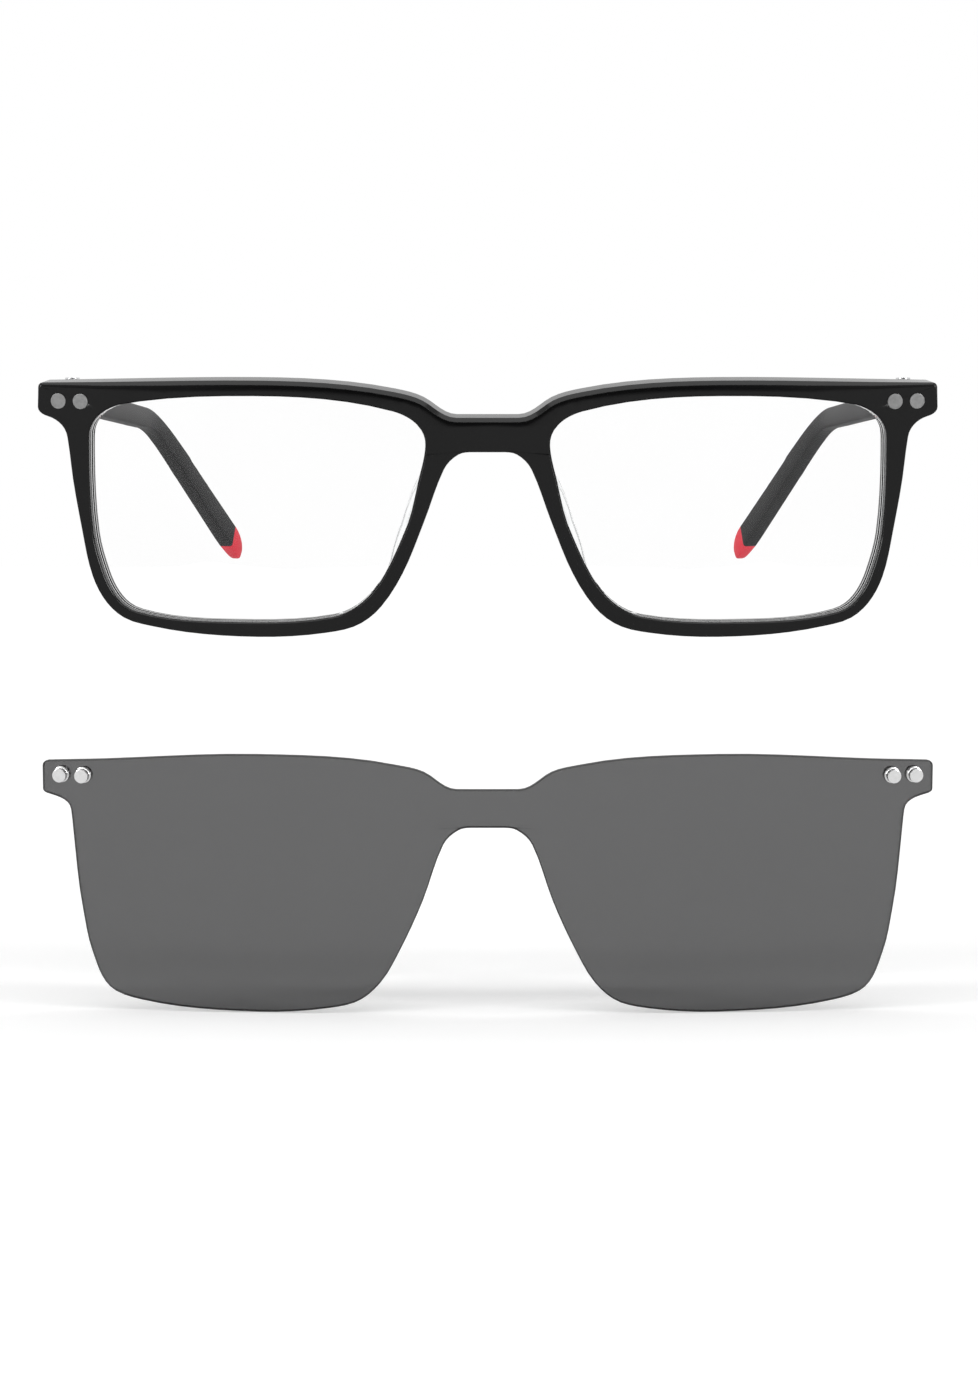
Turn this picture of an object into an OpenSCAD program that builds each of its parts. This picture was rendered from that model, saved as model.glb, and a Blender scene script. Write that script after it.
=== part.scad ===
// Eyeglasses with a magnetic clip-on tint, as worn: X to the wearer's left, Y back, Z up.
// The origin is the middle of the bridge's lower back edge, where it meets the nose.
// The clip-on is drawn taken off, straight below its seat.

/* [Front] */
// Length of an end piece, from the lens opening to the end of the front
end_l = 8.2; // [8:0.05:8.8]
// Height of an end piece
end_h = 5.45; // [5.2:0.05:5.6]
// Thickness of the front
front_t = 4.4; // [4:0.1:5]
// Radius that the front is bent to, about an upright axis
wrap_r = 340; // [300:10:500]
// Forward lean of the front's top edge
lean = 8; // [6:0.5:10]
// Height of the bridge
bridge_h = 5.5; // [5:0.1:6.2]
// Width of the rim above a lens
rim_top = 2.6; // [2.3:0.05:3]
// Width of the rim below a lens
rim_bottom = 2.3; // [2.1:0.05:3]
// Width of the rim at the temple side of a lens
rim_side = 2.3; // [2:0.05:3]
// Setback of the small bevels round the front's face, back and openings
small_bevel = 0.25; // [0.15:0.05:0.35]
// Width of the band that slopes back along the brow, down from the top edge
crown_w = 1.6; // [1.3:0.05:1.7]
// How far that band has sloped back where it meets the brow's bevel
crown_drop = 0.15; // [0.1:0.01:0.25]
// Height of the bevel along the brow
brow_bevel = 0.6; // [0.4:0.05:0.7]
// How much lower the brow is at the face than at the back
brow_draft = 0.25; // [0:0.05:0.35]

/* [Lenses] */
// Gap between the two lens openings
opening_gap = 19.2; // [18:0.1:20.5]
// Width of a lens opening
opening_w = 52.6; // [51.6:0.1:53.6]
// Height of a lens opening
opening_h = 35.2; // [33:0.1:37]
// Height of an opening's top above the bridge's underside
opening_top = 8.45; // [8:0.05:9]
// Depth of the lens groove
groove_depth = 0.6; // [0.4:0.05:0.8]
// Width of the lens groove at its mouth
groove_w = 1.2; // [0.8:0.1:1.4]
// Thickness of a lens
lens_t = 1.8; // [1.6:0.1:2.2]
// Clearance between a lens and its groove
lens_clear = 0.05; // [0.03:0.01:0.1]

/* [Magnets] */
// Diameter of a magnet set in the front
frame_magnet_d = 2.4; // [2:0.1:2.6]
// Depth of a magnet set in the front
frame_magnet_t = 2; // [1.5:0.1:2.4]
// Distance of the outer magnet from the end of the front
magnet_end = 3.4; // [3.2:0.05:3.6]
// Distance between the two magnets of a pair
magnet_pitch = 3.55; // [3.3:0.05:4]
// Height of the magnets above the lower edge of an end piece
magnet_rise = 2.55; // [2.4:0.05:2.8]
// Clearance round a magnet that is set in a hole
magnet_clear = 0.03; // [0.02:0.01:0.05]

/* [Hinges] */
// Diameter of the hinge barrel
barrel_d = 2.6; // [2.4:0.1:2.8]
// Height of the hinge barrel
barrel_h = 5; // [4.5:0.1:5.4]
// Knuckles in the barrel, counting both leaves
knuckles = 5; // [3:2:7]
// Gap between two knuckles
knuckle_gap = 0.05; // [0.03:0.01:0.08]
// Height of the middle of the barrel
barrel_z = 8.5; // [8.3:0.1:8.8]
// Distance of the barrel's axis behind the back of the end piece
barrel_back = 2.9; // [2.7:0.1:3.2]
// Distance of the barrel's axis from the end of the front
barrel_in = 5.35; // [5.1:0.05:5.6]
// Thickness of a hinge leaf
leaf_t = 0.9; // [0.7:0.05:1]
// Height of a hinge leaf
leaf_h = 3.6; // [3:0.1:4]
// Length of the leaf that is sunk in the front
front_leaf_l = 4.4; // [3.6:0.1:4.8]
// Length of the leaf that is sunk in a temple
temple_leaf_l = 9; // [7:0.5:12]
// Diameter of the hinge screw
screw_d = 1.4; // [1.2:0.1:1.4]
// Diameter of the screw's head
screw_head_d = 2.3; // [2:0.1:2.4]
// Height of the screw's head
screw_head_h = 0.4; // [0.3:0.05:0.5]
// Radial clearance of the screw in the knuckles
screw_clear = 0.04; // [0.02:0.01:0.08]
// Clearance round a leaf that is sunk in plastic
leaf_clear = 0.03; // [0.02:0.01:0.05]

/* [Temples] */
// Length of a temple from the front to the start of the ear bend
temple_straight = 92; // [88:1:98]
// Length of the ear bend
temple_bend = 19; // [14:1:22]
// Length of a temple from the ear bend to its end
temple_drop = 34.6; // [30:0.2:38]
// Downward angle of the temple's end
drop_angle = 33; // [28:1:38]
// Inward angle of the temple's straight part
splay = 3.8; // [3:0.2:4.4]
// Downward angle of the temple's straight part
dip = 0.25; // [0:0.05:0.5]
// Inward angle of the temple's end
hug = 22; // [16:1:24]
// Height of a temple at its front end
temple_h = 5.2; // [4.8:0.1:5.4]
// Height of a temple at its narrowest
waist_h = 3.7; // [3.4:0.1:4.2]
// Height of a temple at its tip
ear_h = 4.3; // [4:0.1:5]
// Thickness of a temple at its front end
temple_t = 3.1; // [2.9:0.1:3.3]
// Thickness of a temple over the ear
ear_t = 2.6; // [2.4:0.1:3]
// Radius of a temple's lengthwise edges
temple_edge = 0.5; // [0.3:0.05:0.8]
// Distance of a temple's inner face from the end of the front
temple_in = 3.75; // [3.6:0.05:3.9]
// Height of a temple's middle above the bridge's underside
temple_z = 8.1; // [7.8:0.1:8.4]
// Gap between a temple's front end and the front
butt_gap = 0.08; // [0.05:0.01:0.15]
// Length of the coloured tip
tip_l = 6.2; // [4:0.1:9]
// How far a tip's end lies below its middle, as a share of half the tip's height
tip_droop = 0.4; // [0:0.05:0.5]
// Backward slant of the joint between a temple and its tip
tip_slant = 12; // [0:2:20]
// Diameter of the core wire
wire_d = 1.2; // [1:0.1:1.4]

/* [Nose pads] */
// Length of a nose pad
pad_l = 15; // [13:0.5:16]
// Depth of a nose pad behind the front
pad_depth = 6; // [5:0.5:7]
// Thickness of a nose pad's free edge
pad_edge = 1.4; // [1:0.1:1.8]
// Outward flare of a nose pad at its free edge
pad_flare = 2; // [1.4:0.2:3]

/* [Clip-on] */
// Thickness of the clip-on lens
clip_t = 1.1; // [0.9:0.1:1.4]
// Gap between the front and the clip-on lens when it is attached
clip_gap = 0.5; // [0.4:0.05:0.7]
// How much shorter than the front the clip-on is at each end
clip_short = 0.3; // [0:0.1:0.6]
// How far the clip-on reaches past the rims
clip_over = 0.5; // [0:0.05:0.6]
// How much lower than the front's the clip-on's end pieces are
clip_end_low = 0.55; // [0:0.05:0.7]
// How much wider the clip-on is cut out at the nose, on each side
clip_nose_in = 0.3; // [0:0.05:0.8]
// Diameter of a clip-on magnet
clip_magnet_d = 2.2; // [2:0.1:2.3]
// Diameter of the flange that stops a clip-on magnet at the lens
clip_flange_d = 2.55; // [2.4:0.05:2.7]
// How far a clip-on magnet stands out of the clip-on lens
clip_magnet_out = 1.4; // [1:0.1:1.8]
// Gap between facing magnets when the clip-on is attached
magnet_gap = 0.05; // [0.02:0.01:0.1]
// Distance that the clip-on is lowered when it is taken off
clip_drop = 58.4; // [52:0.2:70]
// Forward lean of the line that the clip-on is lowered along
clip_path = 7; // [5:0.5:7.5]

/* [Hidden] */
left = 1;
right = -1;
deg = 180 / PI;

// Outline of the front, one half, as nodes of position and heading. It runs from the top
// of the bridge out along the brow, round the end piece and back along the lower rim.
nose_x = opening_gap / 2;
temple_x = nose_x + opening_w;
mid_x = nose_x + opening_w / 2;
side_x = temple_x + rim_side;
end_x = temple_x + end_l;
opening_low = opening_top - opening_h;
end_z = 4.7;
top_corner = 0.8;
// The clip-on's outline is wider than the front's by over, and its ends are lower by drop
function outline(end_x, over, drop, nose_in, low_corner) =
    let (top = opening_top + rim_top + 0.3 * over, low = opening_low - rim_bottom - 1.8 * over)
    let (end_top = end_z + end_h - 1.5 * drop, end_low = end_z - 1.25 * drop, brow_fall = -1.9 - 3.5 * drop)
    [
        [0, bridge_h + over, 0],
        [4.8, bridge_h + over, 0],
        [8.9, bridge_h + 1.3 * over + 2, 36],
        [14.5, top - 1.6 + 0.5 * over, 11],
        [mid_x, top, 0],
        [temple_x - 2.2, top - 0.57 - 1.4 * drop, brow_fall],
        [end_x - top_corner, end_top, brow_fall],
        [end_x, end_top - top_corner, -90],
        [end_x, end_low + low_corner, -90],
        [end_x - low_corner, end_low + 0.09 * low_corner, -165],
        [side_x + 1.2 - 0.2 * drop, end_z - 3, -98],
        [side_x + 0.75, end_z - 6.6, -95],
        [side_x - 1 + 0.9 * over, low + 15.8, -100],
        [side_x - 2.5 + 1.1 * over, low + 9, -109],
        [side_x - 7.4 + 3.5 * over, low + 2.6, -151],
        [side_x - 11.9 + 4.4 * over, low + 1.35, -169],
        [mid_x, low, -180],
        [nose_x + 15.5, low + 0.8, -189],
        [nose_x + 11.2, low + 1.8, -202],
        [nose_x + 6.9 + nose_in, low + 5, -230],
        [nose_x + 3.55 + 2 * nose_in, low + 10.2, -243],
        [nose_x + 0.2 + nose_in, low + 18.3, -248.5],
        [nose_x - 2.85 + nose_in / 2, -2.7, -244],
        [nose_x - 5.1, -0.37, -210],
        [2.7, 0, -182],
        [0, 0, -180]
    ];
// Steps that each stretch of the outline is drawn with
outline_steps = [1, 5, 5, 6, 5, 3, 3, 1, 5, 7, 3, 4, 4, 7, 3, 6, 4, 3, 4, 3, 4, 4, 4, 3, 1];
bridge_steps = 3;

// Outline of a lens opening, closed, running the same way round
opening = [
    [nose_x, opening_top - 7.2, 90],
    [nose_x + 5, opening_top - 2.2, 15],
    [mid_x - 0.9, opening_top, 0],
    [temple_x - 5.8, opening_top - 1.45, -10],
    [temple_x, opening_top - 6.7, -89],
    [temple_x - 0.5, opening_low + 13.3, -97],
    [temple_x - 2.1, opening_low + 7.1, -109],
    [temple_x - 7.1, opening_low + 1.35, -165],
    [mid_x + 2.1, opening_low, -180],
    [nose_x + 14.6, opening_low + 1, -191],
    [nose_x + 6.5, opening_low + 7.5, -240],
    [nose_x + 3, opening_low + 15, -247],
    [nose_x + 1.1, opening_top - 13, -256],
    [nose_x, opening_top - 7.2, -270]
];
opening_spans = len(opening) - 1;
// Which stretch of the opening each node of the outline faces
facing = [
    [0, 0.3], [1, 0.45], [2, 0.7], [3, 1], [4, 2.05], [5, 3.1], [6, 3.38], [7, 3.46], [8, 3.55],
    [9, 3.66], [10, 3.9], [11, 4.2], [12, 5], [13, 6], [14, 6.75], [15, 7.15], [16, 8.1],
    [17, 9], [18, 9.3], [19, 9.75], [20, 10], [21, 11.1], [22, 12.3], [23, 12.65],
    [24, 12.75], [25, 12.85], [26, 13.3]
];
// How much of the brow's shape each node of the outline has
brow_share = [[0, 1], [4.6, 1], [6, 0.35], [7, 0.25], [8, 0], [26, 0]];

// Curves through nodes of position and heading
function along(a) = [cos(a), sin(a)];
function spot(n) = [n.x, n.y];
function handle(p, q) = norm(spot(q) - spot(p)) / (3 * pow(cos((q.z - p.z) / 4), 2));
function curve_at(nodes, s) =
    let (i = min(floor(s), len(nodes) - 2), t = s - i, p = nodes[i], q = nodes[i + 1])
    let (h = handle(p, q), a = spot(p), d = spot(q))
    pow(1 - t, 3) * a + 3 * pow(1 - t, 2) * t * (a + h * along(p.z))
    + 3 * (1 - t) * t * t * (d - h * along(q.z)) + pow(t, 3) * d;
function outward(nodes, s) =
    let (e = 0.001, last = len(nodes) - 1)
    let (v = curve_at(nodes, min(s + e, last)) - curve_at(nodes, max(s - e, 0)))
    [-v.y, v.x] / norm(v);
function turns(s) = s - opening_spans * floor(s / opening_spans);
function opening_at(s, out) = curve_at(opening, turns(s)) + out * outward(opening, turns(s));

// Stations of the outline: a position along it, or past its end a share of the bridge's middle line
outline_last = len(outline_steps);
stations = concat(
    [for (i = [0:outline_last - 1]) for (k = [0:outline_steps[i] - 1]) i + k / outline_steps[i]],
    [for (k = [0:bridge_steps]) outline_last + k / (bridge_steps + 1)]
);
outline_points = len(stations);
middle_from = outline_points - bridge_steps - 1;
function edge_at(nodes, s, inset, brow_inset) =
    s >= outline_last ? [0, inset + (nodes[0].y - inset - brow_inset) * (s - outline_last)]
    : s == 0 ? [0, nodes[0].y - brow_inset]
    : curve_at(nodes, s) - (inset + (brow_inset - inset) * lookup(s, brow_share)) * outward(nodes, s);

// A point of the bent front: place along the curve, height, and depth behind the face
function bent(p, depth) =
    let (a = p.x / wrap_r * deg, r = wrap_r - depth)
    [r * sin(a), wrap_r - front_t - r * cos(a), p.y];
function other_side(points) = [for (p = points) [-p.x, p.y, p.z]];
function turned(faces, step) = [for (f = faces) [f[2] + step, f[1] + step, f[0] + step]];

// Faces between two rings of n points, up to the stated point, and over a ring's open end
function band(n, a, b, upto) =
    [for (i = [0:upto - 1]) let (k = (i + 1) % n) each [[a + i, b + i, b + k], [a + i, b + k, a + k]]];
function fan(n, a, pole) = [for (i = [0:n - 1]) [pole, a + i, a + (i + 1) % n]];

// A place on the front: X along the end piece, Y out of its back, Z up the face
module on_front(u, z, depth) {
    place = bent([u, z], depth);
    rotate([lean, 0, 0]) translate(place) rotate([0, 0, u / wrap_r * deg]) children();
}
module on_side(side) {
    if (side == right) mirror([1, 0, 0]) children();
    else children();
}

// Front
groove_mid = front_t / 2;
frame_edge = outline(end_x, 0, 0, 0, 1.6);
// A ring round the outline: inset and depth, given for the rims and for the brow
function rim_ring(rim, brow) = [
    for (s = stations)
    bent(edge_at(frame_edge, s, rim.x, brow.x), rim.y + (brow.y - rim.y) * lookup(s, brow_share))
];
function lens_ring(out, depth) = [for (s = stations) bent(opening_at(lookup(s, facing), out), depth)];
back_edge = [0, front_t - small_bevel];
back_face = [small_bevel, front_t];
front_rings = [
    rim_ring([small_bevel, 0], [crown_w, 0]),
    rim_ring([small_bevel * 0.3, small_bevel * 0.3], [brow_draft + brow_bevel, crown_drop]),
    rim_ring([0, small_bevel], [brow_draft, crown_drop + brow_bevel]),
    rim_ring(back_edge, back_edge),
    rim_ring(back_face, back_face),
    lens_ring(small_bevel, front_t),
    lens_ring(0, front_t - small_bevel),
    lens_ring(0, groove_mid + groove_w / 2),
    lens_ring(groove_depth, groove_mid),
    lens_ring(0, groove_mid - groove_w / 2),
    lens_ring(0, small_bevel),
    lens_ring(small_bevel, 0)
];
wall_rings = 4;
module front_blank() {
    n = outline_points;
    m = len(front_rings);
    half = [for (ring = front_rings) each ring];
    faces = [
        for (j = [0:m - 1])
        each band(n, j * n, ((j + 1) % m) * n, j < wall_rings ? middle_from : n)
    ];
    polyhedron(concat(half, other_side(half)), concat(faces, turned(faces, n * m)), convexity = 8);
}
module front() {
    color("#1c1c1e")
    difference() {
        rotate([lean, 0, 0]) front_blank();
        for (side = [left, right]) on_side(side) {
            for (k = [0, 1]) magnet_hole(k);
            front_leaf_pocket();
        }
    }
}

// Lenses
lens_mid = [mid_x, opening_top - opening_h / 2];
function lens_loop(out, depth, size) = [
    for (s = stations)
    bent(lens_mid + (opening_at(lookup(s, facing), out) - lens_mid) * size, depth)
];
module lens(side) {
    n = outline_points;
    fore = groove_mid - lens_t / 2;
    aft = groove_mid + lens_t / 2;
    lip = groove_w / 2;
    loops = [
        lens_loop(0, fore, 0.5),
        lens_loop(-lens_clear, fore, 1),
        lens_loop(-lens_clear, groove_mid - lip, 1),
        lens_loop(groove_depth - 2 * lens_clear, groove_mid, 1),
        lens_loop(-lens_clear, groove_mid + lip, 1),
        lens_loop(-lens_clear, aft, 1),
        lens_loop(0, aft, 0.5)
    ];
    m = len(loops);
    points = concat([for (loop = loops) each loop], [bent(lens_mid, fore), bent(lens_mid, aft)]);
    faces = concat(
        [for (j = [0:m - 2]) each band(n, j * n, (j + 1) * n, n)],
        fan(n, 0, n * m),
        turned(fan(n, n * (m - 1), n * m + 1), 0)
    );
    color("#dfe8ec", 0.3) on_side(side) rotate([lean, 0, 0]) polyhedron(points, faces, convexity = 4);
}

// Magnets
magnet_z = end_z + magnet_rise;
function magnet_u(k) = end_x - magnet_end - k * magnet_pitch;
module magnet_hole(k) {
    on_front(magnet_u(k), magnet_z, 0) rotate([-90, 0, 0])
    translate([0, 0, -1]) cylinder(d = frame_magnet_d + 2 * magnet_clear, h = frame_magnet_t + 1, $fn = 48);
}
module frame_magnet(side, k) {
    color("#8f8f8f") on_side(side) on_front(magnet_u(k), magnet_z, 0) rotate([-90, 0, 0])
    cylinder(d = frame_magnet_d, h = frame_magnet_t, $fn = 48);
}

// Hinges
barrel_x = end_x - barrel_in;
barrel_low = barrel_z - barrel_h / 2;
knuckle_pitch = barrel_h / knuckles;
back_of_end = bent([barrel_x, end_z + end_h / 2], front_t);
barrel_y = back_of_end.y * cos(lean) - back_of_end.z * sin(lean) + barrel_back;
neck_out = 0.5;
leaf_proud = 0.15;
swing_clear = 0.15;
inner_face = end_x - temple_in;
// Reach of a cut past the piece that it cuts
beyond = 20;
// Space kept in a temple round the barrel and the arms of its leaf
arm_x = inner_face - barrel_x + leaf_t / 2;
arm_y = barrel_d / 2 + 0.3;
groove_r = barrel_d / 2 + 0.25;
module knuckle(k) {
    translate([0, 0, barrel_low + k * knuckle_pitch + knuckle_gap / 2])
    cylinder(d = barrel_d, h = knuckle_pitch - knuckle_gap, $fn = 48);
}
module knuckle_arm(k, x0, x1, y0, y1) {
    translate([x0, y0, barrel_low + k * knuckle_pitch + knuckle_gap / 2])
    cube([x1 - x0, y1 - y0, knuckle_pitch - knuckle_gap]);
}
module hinge_base() {
    deep = barrel_back + 1 - barrel_d / 2 - swing_clear;
    translate([-barrel_d / 2, -barrel_back - 1, barrel_low + knuckle_gap / 2])
    cube([barrel_d / 2 + neck_out, deep, barrel_h - knuckle_gap]);
}
module screw_bore() {
    translate([0, 0, barrel_low - 1]) cylinder(d = screw_d + 2 * screw_clear, h = barrel_h + 2, $fn = 48);
}
module front_leaf_shape(grow) {
    on_front(barrel_x + neck_out - front_leaf_l / 2, end_z + end_h / 2, front_t)
    translate([-front_leaf_l / 2 - grow, -leaf_t - grow, -leaf_h / 2 - grow])
    cube([front_leaf_l + 2 * grow, leaf_t + leaf_proud + 2 * grow, leaf_h + 2 * grow]);
}
module front_leaf_pocket() {
    front_leaf_shape(leaf_clear);
}
module front_hinge(side) {
    color("#b9b9bd") on_side(side)
    difference() {
        union() {
            front_leaf_shape(0);
            difference() {
                translate([barrel_x, barrel_y, 0]) {
                    for (k = [0:2:knuckles - 1]) {
                        knuckle(k);
                        knuckle_arm(k, -barrel_d / 2, neck_out, -barrel_back, 0);
                    }
                    hinge_base();
                }
                on_front(barrel_x, end_z, front_t)
                translate([-beyond, -beyond + leaf_clear, -beyond]) cube([2 * beyond, beyond, 2 * beyond]);
            }
        }
        translate([barrel_x, barrel_y, 0]) screw_bore();
    }
}
module hinge_screw(side) {
    color("#c9c9cc") on_side(side) translate([barrel_x, barrel_y, 0])
    union() {
        translate([0, 0, barrel_low]) cylinder(d = screw_d, h = barrel_h + screw_head_h / 2, $fn = 48);
        translate([0, 0, barrel_low + barrel_h]) cylinder(d = screw_head_d, h = screw_head_h, $fn = 48);
    }
}

// Temples: the path is walked in short steps, each with its own inward and downward angle
temple_start = 2;
temple_steps = 8;
bend_steps = 10;
drop_steps = 9;
temple_l = temple_straight + temple_bend + temple_drop;
function ease(t) = t * t * (3 - 2 * t);
function bent_share(s) = ease(min(max((s - temple_straight) / temple_bend, 0), 1));
function yaw_at(s) = splay + (hug - splay) * bent_share(s);
function pitch_at(s) = dip + (drop_angle - dip) * bent_share(s);
function heading(s) =
    let (yaw = yaw_at(s), pitch = pitch_at(s))
    [-sin(yaw) * cos(pitch), cos(yaw) * cos(pitch), -sin(pitch)];
function out_at(s) = [cos(yaw_at(s)), sin(yaw_at(s)), 0];
function up_at(s) = cross(out_at(s), heading(s));
function temple_h_at(s) = lookup(s, [
    [0, temple_h], [12, temple_h - 0.3], [temple_straight * 0.42, waist_h],
    [temple_straight, waist_h + 0.1], [temple_straight + temple_bend / 2, waist_h - 0.1],
    [temple_straight + temple_bend, waist_h - 0.05], [temple_l - tip_l, ear_h], [temple_l, ear_h + 0.1]
]);
function temple_t_at(s) = lookup(s, [
    [0, temple_t], [12, temple_t], [temple_straight * 0.42, ear_t + 0.2], [temple_straight, ear_t],
    [temple_l - tip_l, ear_t + 0.2], [temple_l, ear_t + 0.3]
]);
temple_places = concat(
    [for (i = [0:temple_steps]) i * temple_straight / temple_steps],
    [for (i = [1:bend_steps]) temple_straight + i * temple_bend / bend_steps],
    [for (i = [1:drop_steps]) temple_straight + temple_bend + i * (temple_drop - tip_l) / drop_steps]
);
// Shares of the tip's length that its rings stand at
tip_shares = [0, 0.2, 0.4, 0.55, 0.68, 0.79, 0.88, 0.95, 1];
path_step = 1;
path_from = [inner_face + temple_t / 2, barrel_y - barrel_back - temple_start, temple_z];
path_points = ceil(temple_l / path_step);
// The path's points one step apart, added up from the first
function path_sum(i, p) = i > path_points
    ? []
    : concat([p], path_sum(i + 1, p + path_step * heading((i + 0.5) * path_step)));
path = path_sum(0, path_from);
function path_at(s) =
    let (i = min(floor(s / path_step), path_points - 1), t = s / path_step - i)
    path[i] * (1 - t) + path[i + 1] * t;
corner_steps = 3;
// A section of the stated height, thickness and edge radius, square to the path, sheared along it
// by slant, so that its top stays level with the top of the temple's front end
function section_at(s, tall, thick, edge, slant) = [
    for (corner = [0:3]) for (i = [0:corner_steps])
    let (a = 90 * (corner + i / corner_steps))
    let (east = corner == 0 || corner == 3 ? 1 : -1, north = corner < 2 ? 1 : -1)
    let (x = east * (thick / 2 - edge) + edge * cos(a), z = north * (tall / 2 - edge) + edge * sin(a))
    path_at(s) + x * out_at(s) + (z + (temple_h - temple_h_at(s)) / 2) * up_at(s) - z * tan(slant) * heading(s)
];
module tube(rings) {
    n = len(rings[0]);
    m = len(rings);
    function middle(ring) = [for (i = [0:n - 1]) 1] * ring / n;
    points = concat([for (ring = rings) each ring], [middle(rings[0]), middle(rings[m - 1])]);
    faces = concat(
        [for (j = [0:m - 2]) each band(n, j * n, (j + 1) * n, n)],
        fan(n, 0, n * m),
        turned(fan(n, n * (m - 1), n * m + 1), 0)
    );
    polyhedron(points, faces, convexity = 4);
}
function temple_ring(s, slant) = section_at(s, temple_h_at(s), temple_t_at(s), temple_edge, slant);
module temple_leaf_shape(grow) {
    translate([inner_face - grow, barrel_y + barrel_d / 2 - grow, barrel_z - 0.3 - leaf_h / 2 - grow])
    cube([leaf_t + 2 * grow, temple_leaf_l + 2 * grow, leaf_h + 2 * grow]);
}
module temple(side) {
    last = len(temple_places) - 1;
    color("#3a3a3c") on_side(side)
    difference() {
        tube([for (i = [0:last]) temple_ring(temple_places[i], i == last ? tip_slant : 0)]);
        on_front(end_x, end_z, front_t)
        translate([-beyond, -beyond + butt_gap, -beyond]) cube([2 * beyond, beyond, 2 * beyond]);
        translate([barrel_x, barrel_y, 0]) cylinder(r = groove_r, h = 2 * beyond, center = true, $fn = 48);
        translate([barrel_x, barrel_y, 0]) cube([arm_x + leaf_clear, arm_y + leaf_clear, beyond]);
        temple_leaf_shape(leaf_clear);
    }
}
// The tip narrows to a rounded end that lies low and a little outward. Its edges grow rounder
// on the way, and its thickness narrows later than its height.
module temple_tip(side) {
    color("#dc3c46") on_side(side)
    tube([
        for (t = tip_shares)
        let (s = temple_l - tip_l * (1 - t), size = sqrt(max(1 - pow(t, 2.4), 0.01)))
        let (edge = size * (temple_edge + t * (0.48 * ear_t - temple_edge)))
        let (low = tip_droop * (1 - size) * ear_h / 2, shift = low * (0.5 * out_at(s) - up_at(s)))
        let (tall = temple_h_at(s) * size, thick = temple_t_at(s) * sqrt(size))
        [for (p = section_at(s, tall, thick, edge, t == 0 ? tip_slant : 0)) p + shift]
    ]);
}
// The core wire runs from just past the hinge leaf almost to the tip
wire_from = temple_start + barrel_back + barrel_d / 2 + temple_leaf_l + 0.8;
wire_to = temple_l - tip_l - 2;
wire_runs = 18;
wire_points = 8;
module core_wire(side) {
    color("#a8a8ac") on_side(side)
    tube([
        for (i = [0:wire_runs])
        let (s = wire_from + (wire_to - wire_from) * i / wire_runs)
        let (mid = path_at(s) + (temple_h - temple_h_at(s)) / 2 * up_at(s))
        [
            for (k = [0:wire_points - 1])
            let (a = 360 * k / wire_points)
            mid + wire_d / 2 * (cos(a) * out_at(s) + sin(a) * up_at(s))
        ]
    ]);
}
module temple_hinge(side) {
    color("#b9b9bd") on_side(side)
    difference() {
        union() {
            temple_leaf_shape(0);
            translate([barrel_x, barrel_y, 0])
            for (k = [1:2:knuckles - 2]) {
                knuckle(k);
                knuckle_arm(k, 0, arm_x, 0, arm_y);
            }
        }
        translate([barrel_x, barrel_y, 0]) screw_bore();
    }
}

// Nose pads
pad_mid = 20.95;
// Length of rim that one stretch of the outline covers at a pad
pad_stretch = 8.3;
pad_from = pad_mid - pad_l / pad_stretch / 2;
pad_to = pad_mid + pad_l / pad_stretch / 2;
pad_rings = 10;
module nose_pad(side) {
    seat = front_t + 0.03;
    rings = [
        for (j = [0:pad_rings])
        let (t = j / pad_rings, s = pad_from + (pad_to - pad_from) * t, grow = sin(12 + 156 * t))
        let (o = edge_at(frame_edge, s, 0.5, 0.5), n = opening_at(lookup(s, facing), 0.35))
        let (dir = (n - o) / norm(n - o), deep = seat + pad_depth * sqrt(grow))
        let (edge = n + pad_flare * grow * dir)
        [
            bent(o, seat),
            bent(n, seat),
            bent(n + (edge - n) * 0.55, seat + (deep - seat) * 0.55),
            bent(edge, deep - 0.35 * pad_edge),
            bent(edge - 0.3 * pad_edge * dir, deep),
            bent(edge - 0.75 * pad_edge * dir, deep - 0.1 * pad_edge),
            bent(edge - pad_edge * dir, deep - 0.5 * pad_edge),
            bent(o + (edge - pad_edge * dir - o) * 0.4, seat + (deep - seat) * 0.42)
        ]
    ];
    color("#e8eef0", 0.5) on_side(side) rotate([lean, 0, 0]) tube(rings);
}

// Clip-on
clip_edge = outline(end_x - clip_short, clip_over, clip_end_low, clip_nose_in, 0.8);
clip_face = -clip_gap - clip_t;
clip_bevel = 0.15;
function clip_ring(inset, depth) = [for (s = stations) bent(edge_at(clip_edge, s, inset, inset), depth)];
module taken_off() {
    translate(clip_drop * [0, sin(clip_path), -cos(clip_path)]) children();
}
module clip_blank() {
    n = outline_points;
    back = -clip_gap;
    loops = [
        lens_loop(0, clip_face, 0.5),
        lens_loop(0, clip_face, 1),
        clip_ring(clip_bevel, clip_face),
        clip_ring(0, clip_face + clip_bevel),
        clip_ring(0, back - clip_bevel),
        clip_ring(clip_bevel, back),
        lens_loop(0, back, 1),
        lens_loop(0, back, 0.5)
    ];
    m = len(loops);
    half = concat([for (loop = loops) each loop], [bent(lens_mid, clip_face), bent(lens_mid, back)]);
    faces = concat(
        [for (j = [0:m - 2]) each band(n, j * n, (j + 1) * n, j > 1 && j < 5 ? middle_from : n)],
        fan(n, 0, n * m),
        turned(fan(n, n * (m - 1), n * m + 1), 0)
    );
    polyhedron(concat(half, other_side(half)), concat(faces, turned(faces, len(half))), convexity = 8);
}
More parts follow.
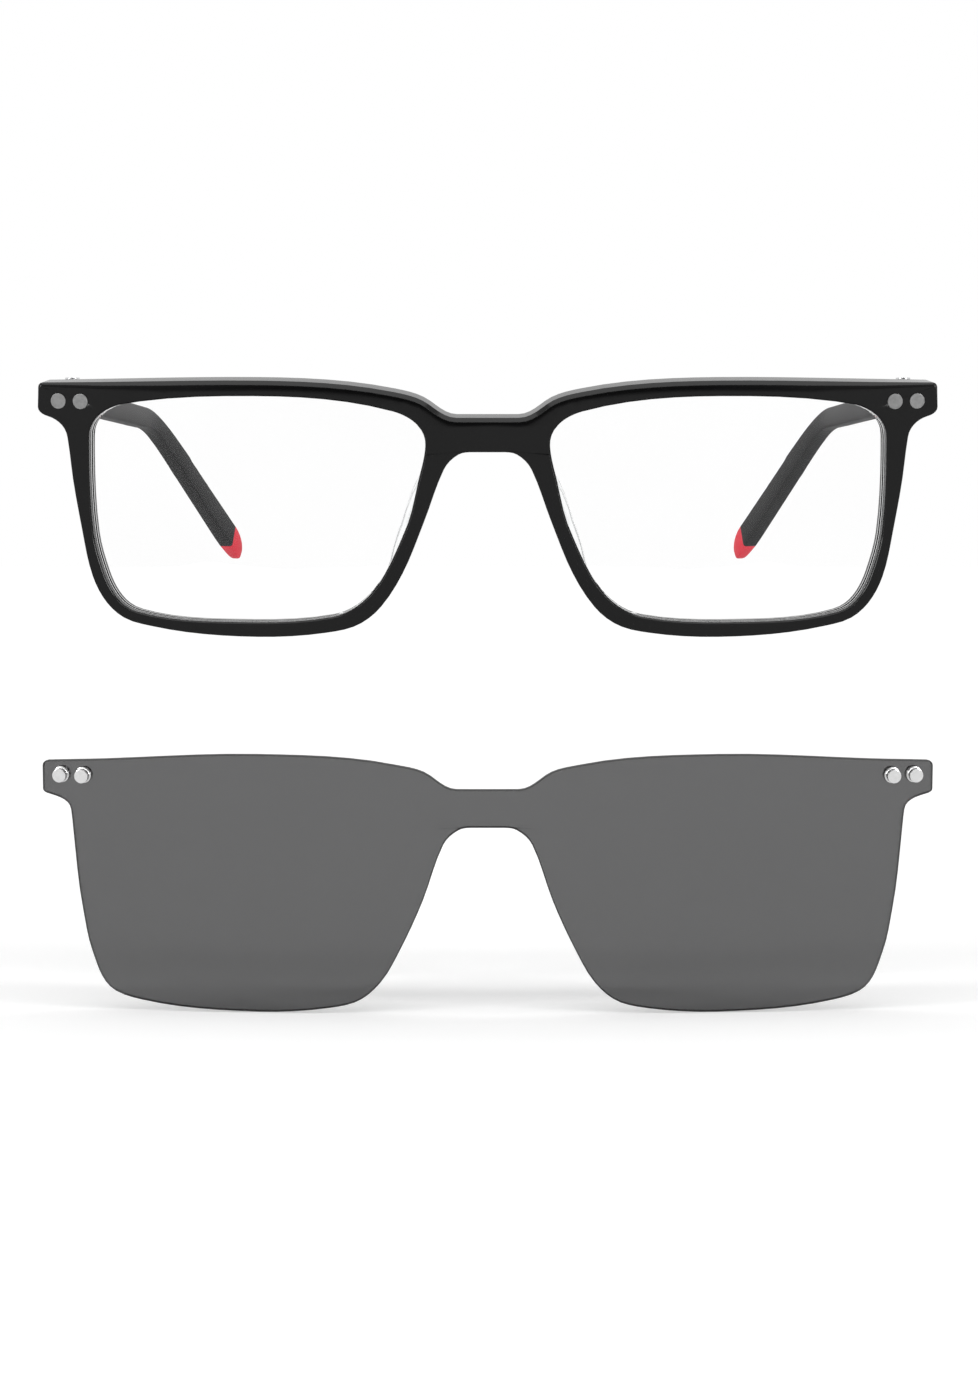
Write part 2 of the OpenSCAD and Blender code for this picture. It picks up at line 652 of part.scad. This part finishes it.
module clip_lens() {
    color("#68686a")
    taken_off()
    difference() {
        rotate([lean, 0, 0]) clip_blank();
        for (side = [left, right]) on_side(side) for (k = [0, 1])
        on_front(magnet_u(k), magnet_z, 0) rotate([90, 0, 0])
        cylinder(d = clip_magnet_d + 2 * magnet_clear, h = clip_gap + clip_t + 2, $fn = 48);
    }
}
module clip_magnet(side, k) {
    collar = 0.15;
    color("#dcdcdc") taken_off() on_side(side)
    on_front(magnet_u(k), magnet_z, 0) rotate([90, 0, 0])
    union() {
        translate([0, 0, magnet_gap])
        cylinder(d = clip_flange_d, h = clip_gap - magnet_gap - magnet_clear, $fn = 48);
        translate([0, 0, magnet_gap])
        cylinder(d = clip_magnet_d, h = clip_gap + clip_t + clip_magnet_out - magnet_gap, $fn = 48);
        translate([0, 0, clip_gap + clip_t + magnet_clear]) cylinder(d = clip_flange_d, h = collar, $fn = 48);
    }
}

front();
lens(left);  // lens_left
lens(right);  // lens_right
nose_pad(left);  // nose_pad_left
nose_pad(right);  // nose_pad_right
frame_magnet(left, 0);  // frame_magnet_left_outer
frame_magnet(left, 1);  // frame_magnet_left_inner
frame_magnet(right, 0);  // frame_magnet_right_outer
frame_magnet(right, 1);  // frame_magnet_right_inner
front_hinge(left);  // front_hinge_left
front_hinge(right);  // front_hinge_right
hinge_screw(left);  // hinge_screw_left
hinge_screw(right);  // hinge_screw_right
temple(left);  // temple_left
temple(right);  // temple_right
temple_tip(left);  // temple_tip_left
temple_tip(right);  // temple_tip_right
core_wire(left);  // core_wire_left
core_wire(right);  // core_wire_right
temple_hinge(left);  // temple_hinge_left
temple_hinge(right);  // temple_hinge_right
clip_lens();
clip_magnet(left, 0);  // clip_magnet_left_outer
clip_magnet(left, 1);  // clip_magnet_left_inner
clip_magnet(right, 0);  // clip_magnet_right_outer
clip_magnet(right, 1);  // clip_magnet_right_inner
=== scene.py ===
import math

import bpy
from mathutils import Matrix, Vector


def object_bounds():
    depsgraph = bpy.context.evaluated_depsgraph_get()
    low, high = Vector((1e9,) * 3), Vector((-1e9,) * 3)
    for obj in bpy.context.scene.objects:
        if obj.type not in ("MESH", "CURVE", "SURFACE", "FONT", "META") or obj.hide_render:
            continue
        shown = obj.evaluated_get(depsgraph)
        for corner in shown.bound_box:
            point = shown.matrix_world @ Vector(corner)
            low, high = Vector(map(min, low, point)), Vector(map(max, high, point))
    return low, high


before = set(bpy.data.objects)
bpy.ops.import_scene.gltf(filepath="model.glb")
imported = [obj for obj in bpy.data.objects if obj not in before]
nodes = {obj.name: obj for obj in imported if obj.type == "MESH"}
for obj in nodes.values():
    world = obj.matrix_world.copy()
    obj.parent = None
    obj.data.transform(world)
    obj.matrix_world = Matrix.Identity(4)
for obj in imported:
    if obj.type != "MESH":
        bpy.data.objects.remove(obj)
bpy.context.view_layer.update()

MM = 0.001
WHITE = (1, 1, 1)

scene = bpy.context.scene
scene.view_settings.view_transform = "Standard"

# The camera was fitted to the photo, whose height and focal length are in its pixels.
# CAMERA_DOWN is in degrees.
PHOTO_H = 1380
FOCAL_PX = 3906
SENSOR = 36
CAMERA_AT = (0.2 * MM, -605.265 * MM, -16.133 * MM)
CAMERA_DOWN = 2
CLIP_START = 0.01
CLIP_END = 50


def make_camera():
    data = bpy.data.cameras.new("camera")
    data.sensor_fit = "AUTO"
    data.sensor_width = SENSOR
    data.lens = FOCAL_PX / PHOTO_H * SENSOR
    data.clip_start = CLIP_START
    data.clip_end = CLIP_END
    camera = bpy.data.objects.new("camera", data)
    camera.location = CAMERA_AT
    camera.rotation_euler = (math.radians(90 - CAMERA_DOWN), 0, 0)
    scene.collection.objects.link(camera)
    scene.camera = camera


make_camera()

# Vertices closer than WELD are one. On the kinds of node that have a rounding, edges steeper
# than SHARP_DEGREES are rounded, and faces within FLAT_DEGREES of one another are merged first.
# A sliver is a face lower than SLIVER. Its normal says little, so beside one only an edge
# steeper than SLIVER_DEGREES is rounded. A face without area has a normal under HAS_NORMAL.
WELD = 0.002 * MM
SAME_PLACE_DIGITS = 6
SHARP_DEGREES = 28
SLIVER_DEGREES = 60
SLIVER = 0.08 * MM
HAS_NORMAL = 0.5
FLAT_DEGREES = 0.2
ROUND_STEPS = 2
EDGE_SLOT = 1
# A kind that is smoothed over more than this takes its normals mostly from its larger faces
POLISHED_DEGREES = 45
AREA_WEIGHT = 100


# A node group that shades a piece smooth, apart from its edges steeper than an angle
def smoothing_group():
    group = bpy.data.node_groups.new("smooth_by_angle", "GeometryNodeTree")
    group.is_modifier = True
    group.interface.new_socket("Geometry", in_out="INPUT", socket_type="NodeSocketGeometry")
    group.interface.new_socket("Geometry", in_out="OUTPUT", socket_type="NodeSocketGeometry")
    group.interface.new_socket("Angle", in_out="INPUT", socket_type="NodeSocketFloat")
    start = group.nodes.new("NodeGroupInput")
    end = group.nodes.new("NodeGroupOutput")
    faces = group.nodes.new("GeometryNodeSetShadeSmooth")
    faces.domain = "FACE"
    edges = group.nodes.new("GeometryNodeSetShadeSmooth")
    edges.domain = "EDGE"
    angle = group.nodes.new("GeometryNodeInputMeshEdgeAngle")
    compare = group.nodes.new("FunctionNodeCompare")
    compare.data_type = "FLOAT"
    compare.operation = "LESS_THAN"
    link = group.links.new
    link(start.outputs["Geometry"], faces.inputs["Geometry"])
    link(faces.outputs[0], edges.inputs["Geometry"])
    link(angle.outputs["Unsigned Angle"], compare.inputs[0])
    link(start.outputs["Angle"], compare.inputs[1])
    link(compare.outputs[0], edges.inputs["Shade Smooth"])
    link(edges.outputs[0], end.inputs[0])
    return group


SMOOTH = smoothing_group()


# Marks a mesh's sharp edges for the bevel modifier. Vertices whose places are the same to
# SAME_PLACE_DIGITS, in metres, count as one.
def mark_sharp_edges(mesh):
    ids = {}
    spots = (tuple(round(c, SAME_PLACE_DIGITS) for c in vertex.co) for vertex in mesh.vertices)
    place = [ids.setdefault(spot, len(ids)) for spot in spots]
    sides_of = {}
    for polygon in mesh.polygons:
        corners = [place[i] for i in polygon.vertices]
        points = [mesh.vertices[i].co for i in polygon.vertices]
        longest = max((p - q).length for p, q in zip(points, points[1:] + points[:1]))
        thin = 2 * polygon.area < SLIVER * longest
        for a, b in zip(corners, corners[1:] + corners[:1]):
            sides_of.setdefault((min(a, b), max(a, b)), []).append((polygon.normal.copy(), thin))
    weights = mesh.attributes.new("bevel_weight_edge", "FLOAT", "EDGE")
    for edge in mesh.edges:
        a, b = (place[i] for i in edge.vertices)
        sides = sides_of.get((min(a, b), max(a, b)), [])
        if len(sides) == 2 and min(normal.length for normal, thin in sides) > HAS_NORMAL:
            (one, one_thin), (other, other_thin) = sides
            limit = SLIVER_DEGREES if one_thin or other_thin else SHARP_DEGREES
            if math.degrees(one.angle(other)) > limit:
                weights.data[edge.index].value = 1


# Rounds a piece's sharp edges, in a material of their own if there is one, which paints shade on them
def round_edges(piece, width, painted_edge_shade):
    mark_sharp_edges(piece.data)
    flat = piece.modifiers.new("flat", "DECIMATE")
    flat.decimate_type = "DISSOLVE"
    flat.angle_limit = math.radians(FLAT_DEGREES)
    bevel = piece.modifiers.new("bevel", "BEVEL")
    bevel.width = width
    bevel.segments = ROUND_STEPS
    bevel.limit_method = "WEIGHT"
    bevel.use_clamp_overlap = False
    if painted_edge_shade:
        piece.data.materials.append(painted_edge_shade)
        bevel.material = EDGE_SLOT


def smooth(piece, degrees, rounding, painted_edge_shade):
    weld = piece.modifiers.new("weld", "WELD")
    weld.merge_threshold = WELD
    if rounding:
        round_edges(piece, rounding, painted_edge_shade)
    shading = piece.modifiers.new("smooth", "NODES")
    shading.node_group = SMOOTH
    for item in SMOOTH.interface.items_tree:
        if item.name == "Angle":
            shading[item.identifier] = math.radians(degrees)
    if degrees > POLISHED_DEGREES:
        weighted = piece.modifiers.new("weighted", "WEIGHTED_NORMAL")
        weighted.weight = AREA_WEIGHT
        weighted.keep_sharp = True


# Node helpers. A grain is a noise's scale and detail, and EVEN doesn't stretch it.
# A noise lies mostly within NOISE_RANGE, so what follows it changes over that range.
EVEN = (1, 1, 1)
NOISE_RANGE = (0.3, 0.7)
NOISE_ROUGHNESS = 0.55


def material(name):
    mat = bpy.data.materials.new(name)
    mat.use_nodes = True
    return mat


def socket(mat, name):
    return mat.node_tree.nodes["Principled BSDF"].inputs[name]


# Gives a node's input a number or another node's output
def put(tree, value, entry):
    if isinstance(value, (int, float)):
        entry.default_value = value
    else:
        tree.links.new(value, entry)


def maths(tree, operation, *values):
    node = tree.nodes.new("ShaderNodeMath")
    node.operation = operation
    for entry, value in zip(node.inputs, values):
        put(tree, value, entry)
    return node.outputs[0]


# 1 for rays of the kinds named, and 0 for others
def rays(tree, *kinds):
    path = tree.nodes.new("ShaderNodeLightPath")
    value = path.outputs[kinds[0]]
    for kind in kinds[1:]:
        value = maths(tree, "MAXIMUM", value, path.outputs[kind])
    return value


def axes(tree, vector):
    split = tree.nodes.new("ShaderNodeSeparateXYZ")
    tree.links.new(vector, split.inputs[0])
    return split.outputs


def noise(tree, grain, stretch):
    place = tree.nodes.new("ShaderNodeTexCoord")
    mapping = tree.nodes.new("ShaderNodeMapping")
    mapping.inputs["Scale"].default_value = stretch
    texture = tree.nodes.new("ShaderNodeTexNoise")
    scale, detail = grain
    texture.inputs["Scale"].default_value = scale
    texture.inputs["Detail"].default_value = detail
    texture.inputs["Roughness"].default_value = NOISE_ROUGHNESS
    tree.links.new(place.outputs["Object"], mapping.inputs["Vector"])
    tree.links.new(mapping.outputs["Vector"], texture.inputs["Vector"])
    return texture.outputs["Fac"]


# Takes a value from one range to another, and no further than its ends
def spread(tree, value, source, target):
    node = tree.nodes.new("ShaderNodeMapRange")
    for end, number in zip(("From Min", "From Max", "To Min", "To Max"), source + target):
        node.inputs[end].default_value = number
    tree.links.new(value, node.inputs["Value"])
    return node.outputs["Result"]


# Clouds a material's colour between a dark and a light one
def colour(mat, dark, light, grain, stretch=EVEN):
    tree = mat.node_tree
    ramp = tree.nodes.new("ShaderNodeValToRGB")
    for element, position, shade in zip(ramp.color_ramp.elements, NOISE_RANGE, (dark, light)):
        element.position = position
        element.color = (*shade, 1)
    tree.links.new(noise(tree, grain, stretch), ramp.inputs["Fac"])
    tree.links.new(ramp.outputs["Color"], socket(mat, "Base Color"))


def roughen(mat, rough, grain, stretch=EVEN):
    tree = mat.node_tree
    tree.links.new(spread(tree, noise(tree, grain, stretch), NOISE_RANGE, rough), socket(mat, "Roughness"))


def relief(mat, strength, depth, grain, stretch=EVEN):
    tree = mat.node_tree
    node = tree.nodes.new("ShaderNodeBump")
    node.inputs["Strength"].default_value = strength
    node.inputs["Distance"].default_value = depth
    tree.links.new(noise(tree, grain, stretch), node.inputs["Height"])
    tree.links.new(node.outputs["Normal"], socket(mat, "Normal"))


# The front's polished plastic
def acetate():
    mat = material("black_acetate")
    colour(mat, (0.0014, 0.0014, 0.0015), (0.0024, 0.0024, 0.0025), grain=(60, 5))
    roughen(mat, (0.12, 0.17), grain=(900, 3))
    relief(mat, strength=0.05, depth=0.04 * MM, grain=(260, 2))
    socket(mat, "Specular IOR Level").default_value = 0.25
    return mat


# The temples' and tips' plastic, with a level for how strongly it reflects
def matte_plastic(name, dark, light, level):
    mat = material(name)
    colour(mat, dark, light, grain=(120, 6))
    roughen(mat, (0.42, 0.52), grain=(1500, 3))
    relief(mat, strength=0.12, depth=0.03 * MM, grain=(4500, 2))
    socket(mat, "Specular IOR Level").default_value = level
    return mat


# Metal, whose roughness follows the same cloud as its colour
def metal(name, dark, light, rough, stretch=EVEN):
    mat = material(name)
    cloud = (1800, 4)
    colour(mat, dark, light, cloud, stretch)
    roughen(mat, rough, cloud, stretch)
    relief(mat, strength=0.08, depth=0.02 * MM, grain=(3000, 2), stretch=stretch)
    socket(mat, "Metallic").default_value = 1
    return mat


TINT_WANDER = 1.01


# Clear plastic, apart from its roughness. Its wave is the strength of its slight unevenness.
def clear_body(name, tint, ior, wave, gloss=WHITE):
    mat = material(name)
    colour(mat, tint, tuple(c * TINT_WANDER for c in tint), grain=(40, 2))
    relief(mat, wave, depth=0.02 * MM, grain=(30, 1))
    socket(mat, "Transmission Weight").default_value = 1
    socket(mat, "IOR").default_value = ior
    socket(mat, "Specular Tint").default_value = (*gloss, 1)
    return mat


def clear(name, tint, rough, ior, wave, gloss=WHITE):
    mat = clear_body(name, tint, ior, wave, gloss)
    roughen(mat, rough, grain=(500, 3))
    return mat


# Where the size of the normal's Y is up to the first number, the sheet has its edge, and from
# the second on its faces
EDGE_TO_FACE = (0.8, 0.845)
# These are for the edge and for the faces. The edge's low transmission darkens it, together with its
# painted shade.
SHEET_TRANSMISSION = (0.15, 1)
SHEET_ROUGHNESS = (0.45, 0.005)


# The clip-on's tinted sheet, with its ground edge duller than its faces. The edge's near-black colour is
# painted shade, for the dark outline that the sheet's edge shows.
def tinted_sheet(face, edge):
    mat = clear_body("grey_tint_painted_edge_shade", face, ior=1.45, wave=0.004)
    tree = mat.node_tree
    normal = tree.nodes.new("ShaderNodeNewGeometry").outputs["True Normal"]
    squareness = maths(tree, "ABSOLUTE", axes(tree, normal)["Y"])
    on_face = spread(tree, squareness, EDGE_TO_FACE, (0, 1))
    # The edge's colour is painted shade: near-black where the faces have the sheet's tint
    mix = tree.nodes.new("ShaderNodeMix")
    mix.data_type = "RGBA"
    mix.inputs["A"].default_value = (*edge, 1)
    tree.links.new(socket(mat, "Base Color").links[0].from_socket, mix.inputs["B"])
    tree.links.new(on_face, mix.inputs["Factor"])
    tree.links.new(mix.outputs["Result"], socket(mat, "Base Color"))
    tree.links.new(spread(tree, on_face, (0, 1), SHEET_TRANSMISSION), socket(mat, "Transmission Weight"))
    tree.links.new(spread(tree, on_face, (0, 1), SHEET_ROUGHNESS), socket(mat, "Roughness"))
    return mat


ACETATE = acetate()
CHARCOAL = matte_plastic("charcoal_temple", (0.03, 0.03, 0.03), (0.038, 0.038, 0.038), level=0.12)
RED = matte_plastic("red_tip", (0.82, 0.05, 0.075), (0.9, 0.06, 0.09), level=0.15)
FRAME_MAGNET = metal("dull_magnet", (0.24, 0.24, 0.24), (0.3, 0.3, 0.3), (0.35, 0.45))
CLIP_MAGNET = metal("bright_magnet", (0.8, 0.8, 0.8), (0.88, 0.88, 0.88), (0.18, 0.26))
HINGE = metal("hinge_steel", (0.42, 0.42, 0.43), (0.55, 0.55, 0.56), (0.28, 0.38), stretch=(1, 1, 8))
SCREW = metal("screw_steel", (0.6, 0.6, 0.61), (0.7, 0.7, 0.71), (0.15, 0.25))
WIRE = metal("wire_steel", (0.4, 0.4, 0.41), (0.5, 0.5, 0.51), (0.3, 0.4), stretch=(1, 8, 1))
LENS = clear("clear_lens", (0.987, 0.987, 0.987), (0, 0.004), ior=1.5, wave=0.004, gloss=(0.13, 0.13, 0.14))
PAD = clear("clear_pad", (0.93, 0.94, 0.94), (0.03, 0.06), ior=1.45, wave=0.03)
# The nose pads' rounded edges: rough as ground edges are, and tinted grey as painted shade for the dark
# line along the pads' edges
PAD_EDGE_SHADE = clear("pad_edge", (0.5, 0.51, 0.51), (0.2, 0.3), ior=1.45, wave=0.03)
# The sheet's tint, and the near-black painted shade of its edge
TINT = tinted_sheet((0.11, 0.11, 0.111), (0.02, 0.02, 0.02))

# Each kind of node's material, smoothing angle, edge rounding and material of the rounded edges, the last a
# painted shade where there is one
LOOKS = {
    "front": (ACETATE, 50, 0.06 * MM, None),
    "lens": (LENS, 30, 0, None),
    "nose_pad": (PAD, 45, 0.12 * MM, PAD_EDGE_SHADE),
    "frame_magnet": (FRAME_MAGNET, 20, 0.05 * MM, None),
    "front_hinge": (HINGE, 35, 0.06 * MM, None),
    "temple_hinge": (HINGE, 35, 0.06 * MM, None),
    "hinge_screw": (SCREW, 35, 0.06 * MM, None),
    "temple_tip": (RED, 40, 0, None),
    "temple": (CHARCOAL, 28, 0, None),
    "core_wire": (WIRE, 40, 0, None),
    "clip_lens": (TINT, 10, 0, None),
    "clip_magnet": (CLIP_MAGNET, 20, 0.08 * MM, None),
}


def dress(name, piece):
    kind = max((k for k in LOOKS if name.startswith(k)), key=len)
    look, degrees, rounding, painted_edge_shade = LOOKS[kind]
    piece.data.materials.clear()
    piece.data.materials.append(look)
    smooth(piece, degrees, rounding, painted_edge_shade)


for name, node in nodes.items():
    dress(name, node)

# The lamps light the floor by FAR_LIT far off, and by up to NEAR_LIT more around LIT_MIDDLE.
# The floor glows by what that leaves up to FLOOR_WHITE, so that it is white all over and still
# shows the object's shadow. These were fitted to the floor's light without the object.
FLOOR_WHITE = 1.06
FAR_LIT = 0.285
NEAR_LIT = 0.58
LIT_MIDDLE = (0, -0.3)
FALL_OFF = -1.4
FLOOR_REACH = 20
FLOOR_GAP = 0.1 * MM


def floor_material(height):
    mat = material("floor")
    colour(mat, (0.8, 0.8, 0.8), (0.82, 0.82, 0.82), grain=(3, 2))
    socket(mat, "Roughness").default_value = 0.9
    socket(mat, "Specular IOR Level").default_value = 0
    socket(mat, "Emission Color").default_value = (*WHITE, 1)
    tree = mat.node_tree
    away = tree.nodes.new("ShaderNodeVectorMath")
    away.operation = "DISTANCE"
    away.inputs[1].default_value = (*LIT_MIDDLE, height)
    tree.links.new(tree.nodes.new("ShaderNodeTexCoord").outputs["Object"], away.inputs[0])
    squared = maths(tree, "POWER", away.outputs["Value"], 2)
    nearness = maths(tree, "POWER", maths(tree, "ADD", squared, 1), FALL_OFF)
    missing = maths(tree, "MULTIPLY_ADD", nearness, -NEAR_LIT, FLOOR_WHITE - FAR_LIT)
    seen = rays(tree, "Is Camera Ray", "Is Transmission Ray")
    tree.links.new(maths(tree, "MULTIPLY", seen, missing), socket(mat, "Emission Strength"))
    return mat


# A flat square just under the object, with the world behind it
def make_floor():
    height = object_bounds()[0].z - FLOOR_GAP
    square = ((-1, -1), (1, -1), (1, 1), (-1, 1))
    corners = [(x * FLOOR_REACH, y * FLOOR_REACH, height) for x, y in square]
    mesh = bpy.data.meshes.new("floor")
    mesh.from_pydata(corners, [], [(0, 1, 2, 3)])
    floor = bpy.data.objects.new("floor", mesh)
    scene.collection.objects.link(floor)
    mesh.materials.append(floor_material(height))


make_floor()

# The world lights by WORLD_LIGHT and is seen as white. From gloss, UNLIT of that white is taken
# in two places: in front of the object, as the studio's unlit side, and high up behind it, as a
# black flag. Each range of the direction's Y or Z goes from where none is taken to where all is.
WORLD_LIGHT = 0.35
UNLIT = 0.92
UNLIT_FRONT_Y = (-0.8, -0.97)
FLAG_Z = (0.45, 0.6)
FLAG_Y = (0.1, 0.25)


def backdrop(tree, strength):
    node = tree.nodes.new("ShaderNodeBackground")
    node.inputs["Color"].default_value = (*WHITE, 1)
    put(tree, strength, node.inputs["Strength"])
    return node.outputs[0]


def make_world():
    world = bpy.data.worlds.new("world")
    scene.world = world
    world.use_nodes = True
    tree = world.node_tree
    tree.nodes.clear()
    direction = axes(tree, tree.nodes.new("ShaderNodeTexCoord").outputs["Generated"])
    front = spread(tree, direction["Y"], UNLIT_FRONT_Y, (0, UNLIT))
    flag_height = spread(tree, direction["Z"], FLAG_Z, (0, UNLIT))
    flag_depth = spread(tree, direction["Y"], FLAG_Y, (0, 1))
    unlit = maths(tree, "MULTIPLY_ADD", flag_height, flag_depth, front)
    taken = maths(tree, "MULTIPLY", unlit, rays(tree, "Is Glossy Ray"))
    white = backdrop(tree, maths(tree, "SUBTRACT", 1, taken))
    mix = tree.nodes.new("ShaderNodeMixShader")
    seen = rays(tree, "Is Camera Ray", "Is Glossy Ray", "Is Transmission Ray")
    tree.links.new(seen, mix.inputs[0])
    tree.links.new(backdrop(tree, WORLD_LIGHT), mix.inputs[1])
    tree.links.new(white, mix.inputs[2])
    out = tree.nodes.new("ShaderNodeOutputWorld")
    tree.links.new(mix.outputs[0], out.inputs["Surface"])


make_world()


# A studio lamp of a width and height, in metres
def softbox(name, at, aim, size, watts):
    data = bpy.data.lights.new(name, "AREA")
    data.shape = "RECTANGLE"
    data.size, data.size_y = size
    data.energy = watts
    lamp = bpy.data.objects.new(name, data)
    lamp.location = at
    lamp.rotation_euler = (Vector(aim) - Vector(at)).to_track_quat("-Z", "Y").to_euler()
    scene.collection.objects.link(lamp)


softbox("overhead", at=(0, -0.1, 1.1), aim=(0, 0.05, 0), size=(1.4, 0.9), watts=6)
softbox("front_strip", at=(0, -0.8, 0.75), aim=(0, 0, 0), size=(1.4, 0.1), watts=3)
for side, sign in (("left", -1), ("right", 1)):
    softbox("side_" + side, at=(sign * 0.95, -0.75, 0.25), aim=(0, 0, 0), size=(0.12, 0.8), watts=5)
